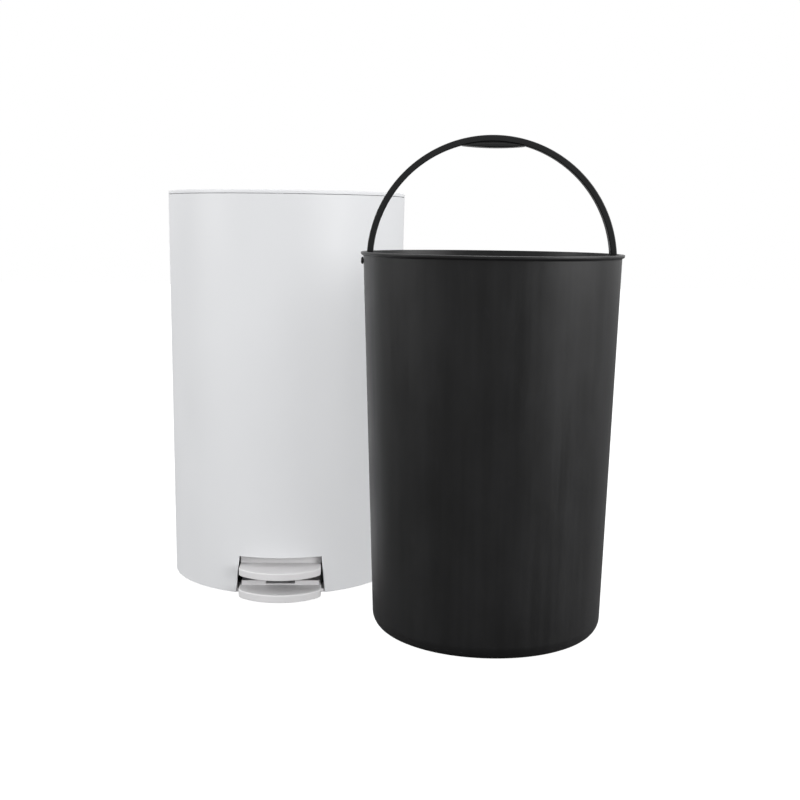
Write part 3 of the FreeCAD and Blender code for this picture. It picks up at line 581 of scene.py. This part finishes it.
class OuterShell(bpy.types.Operator):
    """Builds the can's tapered wall with its pedal opening and hinge notch"""
    bl_idname = "pedal_can.outer_shell"
    bl_label = "Outer shell"

    ROWS = (15, 60, 12)         # beside the opening, above it, and beside the notch
    COLUMNS = (33, 97, 13)      # over the opening, along each side, and over the notch

    def execute(self, context):
        s = context.scene.pedal_can_shell
        made = piece("can_shell", self.wall(s), finish_of("white_pp"), "can", ["outer_shell"],
                     closed=False)
        solid = made.modifiers.new("Wall", "SOLIDIFY")
        solid.thickness, solid.offset = s.wall, -1
        bevel = made.modifiers.new("Edges", "BEVEL")
        bevel.width, bevel.segments, bevel.limit_method = s.edge, 3, "ANGLE"
        bevel.angle_limit = math.radians(45)
        bevel.harden_normals = True
        return {"FINISHED"}

    @classmethod
    def wall(cls, s):
        """Points (R(z) sin t, -R(z) cos t, z): t is the angle from the front and R grows evenly with height.
        Two columns follow the opening's slanted sides, where sin t is half its width over R, and two the
        notch's upright sides. The rest are spread evenly between them, and the quads inside the opening and
        the notch are left out."""
        levels = (s.foot_z, s.opening_z, s.notch_z, s.top_z)
        spans = [np.linspace(low, high, rows)[:-1] for low, high, rows in zip(levels, levels[1:], cls.ROWS)]
        z = np.concatenate([*spans, [s.top_z]])[:, None]
        radius = s.foot_r + (s.top_r - s.foot_r) * z / s.top_z
        lean = np.minimum(z, s.opening_z) / s.opening_z
        front = np.arcsin((s.opening_foot + (s.opening_top - s.opening_foot) * lean) / radius)
        rear = np.arcsin(s.notch / radius)
        over, side, notch = cls.COLUMNS
        across, behind = np.linspace(-1, 1, over), np.linspace(-1, 1, notch)
        along = np.linspace(0, 1, side)[1:-1]
        right = front + (math.pi - rear - front) * along
        t = np.hstack([front * across, right, math.pi + rear * behind, TURN - right[:, ::-1]])
        points = np.stack([radius * np.sin(t), -radius * np.cos(t), z + 0 * t], -1)
        quads = grid_quads(*t.shape)
        low, column = z[:-1], np.arange(t.shape[1])
        keep = ~((low < s.opening_z - MM) & (column < len(across) - 1))
        first = len(across) + len(along)
        keep &= ~((low > s.notch_z - MM) & (column >= first) & (column < first + len(behind) - 1))
        return points.reshape(-1, 3), quads[keep]


class Lid(bpy.types.Operator):
    """Builds the flat lid with its turned-down rim, its stiffening rib and the pad over the hinge arm"""
    bl_idname = "pedal_can.lid"
    bl_label = "Lid"

    def execute(self, context):
        s = context.scene.pedal_can_lid
        weighted(piece("lid_cover", joined(self.disc(s), self.rib(s), self.pad(s)), finish_of("white_pp"),
                       "lid", ["lid"]))
        return {"FINISHED"}

    @staticmethod
    def disc(s):
        """A turned shape: flat skin, rim turned down at its outside, rounded at the upper edge."""
        under = s.top_z - s.skin
        profile = rounded([(0, under), (s.rim_in_r, under), (s.rim_in_r, s.rim_z), (s.radius, s.rim_z),
                           (s.radius, s.top_z), (0, s.top_z)], [s.rim_edge, s.rim_edge, s.rim_edge, s.edge])
        return lofted(turned(profile, ROUND_COLUMNS))

    @staticmethod
    def rib(s, columns=180):
        """A rounded rectangle carried round the axis from one side of the hinge arm to the other."""
        gap = math.asin(s.pad_half / s.rib_r)
        t = np.linspace(math.pi / 2 + gap, math.pi / 2 - gap + TURN, columns)[:, None]
        height = s.top_z - s.skin / 2 - s.rib_z
        section = rounded_section(s.rib_wall / 2, height / 2, SOFT)
        radius = s.rib_r - s.rib_wall / 2 + section[:, 0]
        z = s.rib_z + height / 2 + section[:, 1] + 0 * t
        return lofted(np.stack([radius * np.cos(t), radius * np.sin(t), z], -1))

    @staticmethod
    def pad(s):
        """A slab between the skin and the hinge arm: a rounded rectangle, drawn in at its lower edge."""
        half_y = (s.rim_in_r - s.pad_y) / 2
        middle = [0, s.pad_y + half_y]
        outline = rounded_section(s.pad_half, half_y, s.pad_corner) + middle
        inner = rounded_section(s.pad_half - FINE, half_y - FINE, s.pad_corner - FINE) + middle
        top = s.top_z - s.skin / 2
        return lofted(layered([inner, outline, outline], [s.pad_z, s.pad_z + FINE, top]))


class Steps(bpy.types.Operator):
    """Builds the moving tread and the fixed lower step, both half-moon shapes open underneath"""
    bl_idname = "pedal_can.steps"
    bl_label = "Tread and lower step"

    def execute(self, context):
        s = context.scene.pedal_can_steps
        tread = self.shape(s, s.tread_front, s.tread_back, s.tread_half, s.tread_low, s.tread_top,
                           s.tread_skin)
        half_y = (s.seat_front - s.tread_back) / 2
        seat = rounded_section(s.seat_half, half_y, s.seat_corner) + [0, half_y - s.seat_front]
        seat = lofted(layered([seat, seat], [s.tread_low, s.tread_top - s.tread_skin / 2]))
        riser = self.wall(s, -s.tread_half, s.tread_half, s.tread_riser_y, s.tread_top - s.tread_skin / 2,
                          s.tread_riser_z)
        weighted(piece("pedal_tread_cover", joined(tread, seat, riser), finish_of("grey_pp"), "pedal",
                       ["pedal_tread"]))
        step = self.shape(s, s.step_front, s.step_back, s.step_half, s.step_low, s.step_top, s.step_skin)
        foot = s.step_top - s.step_skin / 2
        low = [self.wall(s, x0, x1, s.step_riser_y, foot, top) for x0, x1, top in (
            (-s.step_riser_half, -s.sill_half, s.step_riser_z), (-s.sill_half, s.sill_half, s.sill_z),
            (s.sill_half, s.step_riser_half, s.step_riser_z))]
        weighted(piece("lower_step_cover", joined(step, *low), finish_of("grey_pp"), "can",
                       ["lower_step"]))
        return {"FINISHED"}

    @staticmethod
    def wall(s, x0, x1, front, foot, top):
        """An upright slab: a rounded rectangle from foot to top, drawn in at its upper edge."""
        middle = [(x0 + x1) / 2, front + s.riser_wall / 2]
        half, edge = (x1 - x0) / 2, s.riser_edge
        outline = rounded_section(half, s.riser_wall / 2, edge) + middle
        inner = rounded_section(half - edge, s.riser_wall / 2 - edge, FINE) + middle
        return lofted(layered([outline, outline, inner], [foot, top - edge, top]))

    @staticmethod
    def shape(s, front, back, half, low, top, skin):
        """The half-moon outline moved in by d at height z, with (d, z) running from the hollow's ceiling down
        inside the skirt, round its lower lip and up outside to the rounded upper edge."""
        line = rounded([(s.skirt + OVERLAP, top - skin), (s.skirt, top - skin), (s.skirt, low), (0, low),
                        (0, top), (s.edge + OVERLAP, top)], [KEEN, s.lip, s.lip, s.edge], 7)
        outlines = [half_moon(front, back + min(d, s.skirt), half, d, s) for d in line[:, 0].tolist()]
        return lofted(layered(outlines, line[:, 1]))


class Bucket(bpy.types.Operator):
    """Builds the tapered bucket with its rounded foot, thin rim and the rests for its bail"""
    bl_idname = "pedal_can.bucket"
    bl_label = "Bucket"

    REST_ANGLES = (55, 125, 235, 305)       # degrees round the bucket's axis

    def execute(self, context):
        s = context.scene.pedal_can_bucket
        rests = [self.rest(s, math.radians(angle)) for angle in self.REST_ANGLES]
        weighted(piece("bucket_pail", joined(self.pail(s), *rests), finish_of("black_pp"), "bucket",
                       ["bucket"]))
        return {"FINISHED"}

    @staticmethod
    def radius(s, z, inset=0.0):
        """The outer wall's radius at height z, less an inset."""
        return s.foot_r + s.growth * z - inset

    @classmethod
    def pail(cls, s):
        """A turned shape: recessed foot, round corner, straight tapered wall, thin rim, and back inside."""
        top = s.height
        outside, inside = cls.radius(s, 0), cls.radius(s, s.floor, s.wall)
        profile = rounded(
            [(0, s.recess), (s.recess_r, s.recess), (s.recess_r, 0), (outside, 0),
             (cls.radius(s, top - s.rim), top - s.rim), (s.rim_r, top - s.rim), (s.rim_r, top),
             (cls.radius(s, top, s.wall), top), (inside, s.floor), (0, s.floor)],
            [SOFT, SOFT, s.corner, s.cove, s.under, s.edge, SOFT, s.corner - s.wall], 9)
        return lofted(turned(profile, ROUND_COLUMNS, (s.x, s.y)))

    @classmethod
    def rest(cls, s, angle):
        """A small shelf on the wall's inside: a rounded rectangle, turned about the bucket's axis."""
        reach = cls.radius(s, s.rest_z, s.wall / 2)
        half = (reach - s.rest_r) / 2
        middle = [s.rest_r + half, 0]
        outline = rounded_section(half, s.rest_half, s.rest_corner) + middle
        inner = rounded_section(half - SOFT, s.rest_half - SOFT, s.rest_corner - SOFT) + middle
        turn = np.array([[math.cos(angle), math.sin(angle)], [-math.sin(angle), math.cos(angle)]])
        low = s.rest_z - s.rest
        return lofted(layered([flat @ turn + [s.x, s.y] for flat in (inner, outline, outline, inner)],
                              [low, low + SOFT, s.rest_z - SOFT, s.rest_z]))


class Bail(bpy.types.Operator):
    """Builds the half-round bail with its bosses, and the deeper grip under its crown"""
    bl_idname = "pedal_can.bail"
    bl_label = "Bail and grip"

    def execute(self, context):
        b, s = context.scene.pedal_can_bucket, context.scene.pedal_can_bail
        place = [b.x, b.y, s.pivot_z]
        grip = self.grip(s)
        band = joined(self.arch(s), self.boss(s, -1), self.boss(s, 1))
        for name, (points, quads) in (("bail_arch", band), ("bail_grip", grip)):
            weighted(piece(name, (points + place, quads), finish_of("bail"), "bail", ["bail"]))
        return {"FINISHED"}

    @staticmethod
    def arch(s, columns=145):
        """A rounded rectangle carried round a half circle: (r cos t, y, r sin t)."""
        t = np.linspace(0, math.pi, columns)[:, None]
        section = rounded_section((s.out_r - s.in_r) / 2, s.half, s.edge)
        radius = (s.out_r + s.in_r) / 2 + section[:, 0]
        return lofted(np.stack([radius * np.cos(t), section[:, 1] + 0 * t, radius * np.sin(t)], -1))

    @staticmethod
    def boss(s, side, columns=64):
        """A disc turned about X at the end of the arch, with rounded edges."""
        line = rounded([(0, s.in_r), (s.boss_r, s.in_r), (s.boss_r, s.out_r), (0, s.out_r)],
                       [s.edge, s.edge])
        rings = turned(line, columns)
        return lofted(rings[..., [2, 0, 1]] * [side, 1, 1])

    @staticmethod
    def grip(s, columns=61, corner=0.5):
        """Two rounded bars carried along X. The grip runs from its bowed underside up to the arch's inner
        side, the root of r squared less x squared, less a groove that fades out towards the ends. A narrower
        core fills the middle of the groove and reaches into the arch. Each bar's half height follows x, and
        its depth stays the same."""
        x = (s.grip_length * np.sin(np.linspace(-math.pi / 2, math.pi / 2, columns)))[:, None]
        share = (x / s.grip_length) ** 2
        low, inner = s.grip_low + s.grip_bow * share, np.sqrt(s.in_r ** 2 - x ** 2)
        unit = rounded_section(1.0, 1.0, corner)
        soft = s.grip_edge * (1 - np.abs(unit[:, 0])) / corner
        lofts = []
        for depth, bottom, top in ((s.grip_half, low, inner - s.groove * (1 - share)),
                                   (s.core_half, low + OVERLAP, inner + OVERLAP)):
            half = (top - bottom) / 2
            y = np.sign(unit[:, 0]) * (depth - soft) + 0 * x
            lofts.append(lofted(np.stack([x + 0 * y, y, bottom + half + unit[:, 1] * half], -1)))
        return joined(*lofts)


class Rivets(bpy.types.Operator):
    """Builds the two round-headed rivets that the bail turns on"""
    bl_idname = "pedal_can.rivets"
    bl_label = "Rivets"

    def execute(self, context):
        b, s = context.scene.pedal_can_bucket, context.scene.pedal_can_bail
        points, quads = self.shape(s)
        for side, name in ((-1, "left"), (1, "right")):
            placed = points * [side, 1, 1] + [b.x, b.y, s.pivot_z]
            weighted(piece("rivet_" + name, (placed, quads), finish_of("bail"), RIVET_BODY,
                           ["bail_rivet_" + name]))
        return {"FINISHED"}

    @staticmethod
    def shape(s, columns=48):
        """A turned shape about X: flat clench inside, shank, and a domed head outside."""
        seat = s.in_r - 0.1 * MM        # just clear of the boss
        inner, tip = seat - s.clench, s.wall_x + s.head
        line = rounded([(0, inner), (s.clench_r, inner), (s.clench_r, seat), (s.rivet_r, seat),
                        (s.rivet_r, s.wall_x), (s.head_r, s.wall_x), (s.head_r, tip), (0, tip)],
                       [SOFT, FINE, KEEN, KEEN, FINE, s.head * 0.8])
        return lofted(turned(line, columns)[..., [2, 0, 1]])


class Fittings(bpy.types.Operator):
    """Gives the CAD nodes that stay in view their finishes"""
    bl_idname = "pedal_can.fittings"
    bl_label = "Fittings"

    NODES = {
        "white_pp": ("hinge_housing", "lid_hinge_arm"),
        "grey_pp": ("base", "rod_guide_lower", "rod_guide_upper"),
        "black_pp": ("rod_caps",),
        "zinc_steel": ("pivot_pin", "pivot_clip", "hinge_pin", "housing_screws", "lid_screws", "pedal_lever",
                       "tread_screws", "push_rod"),
        "rubber": ("anti_slip_ring",),
        "clear_bumper": ("lid_bumper_1", "lid_bumper_2", "lid_bumper_3"),
    }

    def execute(self, context):
        for slot, names in self.NODES.items():
            finish = finish_of(slot)
            for name in names:
                node = frame["nodes"][name]
                if not node.material_slots:
                    node.data.materials.append(finish)
                for holder in node.material_slots:
                    holder.material = finish
        return {"FINISHED"}


class Studio(bpy.types.Operator):
    """Sets the pale floor, the soft light and the camera"""
    bl_idname = "pedal_can.studio"
    bl_label = "Studio"

    # the bodies that a flagged softbox lights
    FLAGGED = {"can": ("can", "lid", "pedal", "rod"), "bucket": ("bucket", "bail"), "pail": ("bucket",)}
    # name, degrees right of the front, degrees up, metres away, metres wide, watts, what it lights
    SOFTBOXES = (
        ("right_softbox", 50, 38, 2.6, 1.2, 4, None),
        ("left_fill", -72, 12, 4.0, 1.8, 78, "can"),
        ("right_fill", 46, 10, 4.0, 1.8, 94, "can"),
        ("top_fill", 5, 62, 2.6, 1.4, 7, "can"),
        ("bucket_right", 66, 24, 2.6, 2.0, 52, "bucket"),
        ("bucket_left", -80, 20, 2.6, 1.0, 15, "bucket"),
        ("bucket_top", 20, 74, 2.6, 1.0, 40, "pail"),
    )
    AIM = Vector((0, 0, 0.2))       # where the softboxes point, metres
    FRONT_LIGHT, BACK_GAIN = 0.72, 0.22     # the walls' light, and how much more comes from behind

    def execute(self, context):
        s = context.scene.pedal_can_stage
        self.floor(s, context.scene.pedal_can_colours.floor)
        self.room(context.scene)
        self.camera(s, context.scene)
        lit = {name: self.pieces_on(*bodies) for name, bodies in self.FLAGGED.items()}
        for name, turn, rise, away, size, power, group in self.SOFTBOXES:
            self.softbox(name, math.radians(turn), math.radians(rise), away, size, power, lit.get(group))
        return {"FINISHED"}

    @staticmethod
    def floor(s, rgb):
        """A flat square of floor far wider than the view."""
        points = np.array([[-1, -1, 0], [1, -1, 0], [1, 1, 0], [-1, 1, 0]]) * s.room
        mesh = bpy.data.meshes.new("floor")
        mesh.from_pydata(points.tolist(), [], [(0, 1, 2, 3)])
        mesh.materials.append(studio_paper("Studio paper", rgb))
        made = bpy.data.objects.new("floor", mesh)
        bpy.context.scene.collection.objects.link(made)
        made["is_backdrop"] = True

    @classmethod
    def room(cls, scene):
        """White walls all round, brighter behind than in front: their light grows with y. Where they are seen
        they are plain white."""
        scene.view_settings.view_transform = "Standard"
        world = bpy.data.worlds.new("Studio")
        scene.world = world
        world.use_nodes = True
        tree = world.node_tree
        tree.nodes.clear()
        way = add(tree, "ShaderNodeTexCoord")
        parts = add(tree, "ShaderNodeSeparateXYZ", {0: way.outputs["Generated"]})
        glow = add(tree, "ShaderNodeMath", {0: parts.outputs["Y"], 1: cls.BACK_GAIN, 2: cls.FRONT_LIGHT},
                   operation="MULTIPLY_ADD").outputs[0]
        ray = add(tree, "ShaderNodeLightPath")
        lit = add(tree, "ShaderNodeBackground", {"Color": (1, 1, 1, 1), "Strength": glow})
        seen = add(tree, "ShaderNodeBackground", {"Color": (1, 1, 1, 1), "Strength": 1.0})
        both = add(tree, "ShaderNodeMixShader", {0: ray.outputs["Is Camera Ray"], 1: lit.outputs[0],
                                                 2: seen.outputs[0]})
        add(tree, "ShaderNodeOutputWorld", {0: both.outputs[0]})

    @staticmethod
    def pieces_on(*bodies):
        """A collection of the pieces and CAD nodes that ride on some bodies, for lights that are flagged off
        the rest."""
        made = bpy.data.collections.new("lit_" + bodies[0])
        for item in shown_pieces():
            if set(body_of(item)) <= set(bodies):
                made.objects.link(item)
        return made

    @classmethod
    def softbox(cls, name, turn, rise, away, size, power, lit):
        """A square panel of light, turned right of the front and raised from the floor, that faces the can. A
        panel with a lit collection lights those pieces only."""
        light = bpy.data.lights.new(name, "AREA")
        light.size, light.energy = size, power
        way = Vector((math.sin(turn) * math.cos(rise), -math.cos(turn) * math.cos(rise), math.sin(rise)))
        facing = way.to_track_quat("Z", "Y").to_matrix().to_4x4()
        made = bpy.data.objects.new(name, light)
        made.matrix_world = Matrix.Translation(cls.AIM + way * away) @ facing
        bpy.context.scene.collection.objects.link(made)
        if lit:
            made.light_linking.receiver_collection = lit
            made.light_linking.blocker_collection = lit

    @staticmethod
    def camera(s, scene):
        """A camera turned right by its heading, down by its dip, and about its line of sight by its roll."""
        turn, dip = s.heading, s.dip
        ahead = Vector((math.sin(turn) * math.cos(dip), math.cos(turn) * math.cos(dip), -math.sin(dip)))
        right = Vector((math.cos(turn), -math.sin(turn), 0))
        axes = Matrix((right, right.cross(ahead), -ahead)).transposed()
        camera = bpy.data.cameras.new("camera")
        camera.lens, camera.sensor_width, camera.shift_y = s.lens, SENSOR_MM, s.rise
        made = bpy.data.objects.new("camera", camera)
        turned_axes = axes @ Matrix.Rotation(s.roll, 3, "Z")
        made.matrix_world = Matrix.Translation(Vector(s.eye)) @ turned_axes.to_4x4()
        scene.collection.objects.link(made)
        scene.camera = made


class PedalCanPanel(bpy.types.Panel):
    """Lists the pieces and their sizes"""
    bl_idname = "VIEW3D_PT_pedal_can"
    bl_label = "Pedal can"
    bl_space_type = "VIEW_3D"
    bl_region_type = "UI"
    bl_category = "Pedal can"

    def draw(self, context):
        for operator in OPERATORS:
            self.layout.operator(operator.bl_idname)
        for name, group in GROUPS.items():
            box = self.layout.box()
            box.label(text=group.__doc__)
            for key in group.__annotations__:
                box.prop(getattr(context.scene, name), key)


GROUPS = {
    "pedal_can_shell": ShellSizes, "pedal_can_lid": LidSizes, "pedal_can_steps": StepSizes,
    "pedal_can_bucket": BucketSizes, "pedal_can_bail": BailSizes, "pedal_can_colours": FinishColours,
    "pedal_can_stage": StageSizes,
}
OPERATORS = (OuterShell, Lid, Steps, Bucket, Bail, Rivets, Fittings, Studio)


def register():
    for kind in (*GROUPS.values(), *OPERATORS, PedalCanPanel):
        bpy.utils.register_class(kind)
    for name, group in GROUPS.items():
        setattr(bpy.types.Scene, name, PointerProperty(type=group))


def unregister():
    for name in GROUPS:
        delattr(bpy.types.Scene, name)
    for kind in (PedalCanPanel, *OPERATORS, *GROUPS.values()):
        bpy.utils.unregister_class(kind)


def main():
    register()
    bpy.ops.pedal_can.outer_shell()
    bpy.ops.pedal_can.lid()
    bpy.ops.pedal_can.steps()
    bpy.ops.pedal_can.bucket()
    bpy.ops.pedal_can.bail()
    bpy.ops.pedal_can.rivets()
    bpy.ops.pedal_can.fittings()
    bpy.ops.pedal_can.studio()


if __name__ == "__main__":
    main()
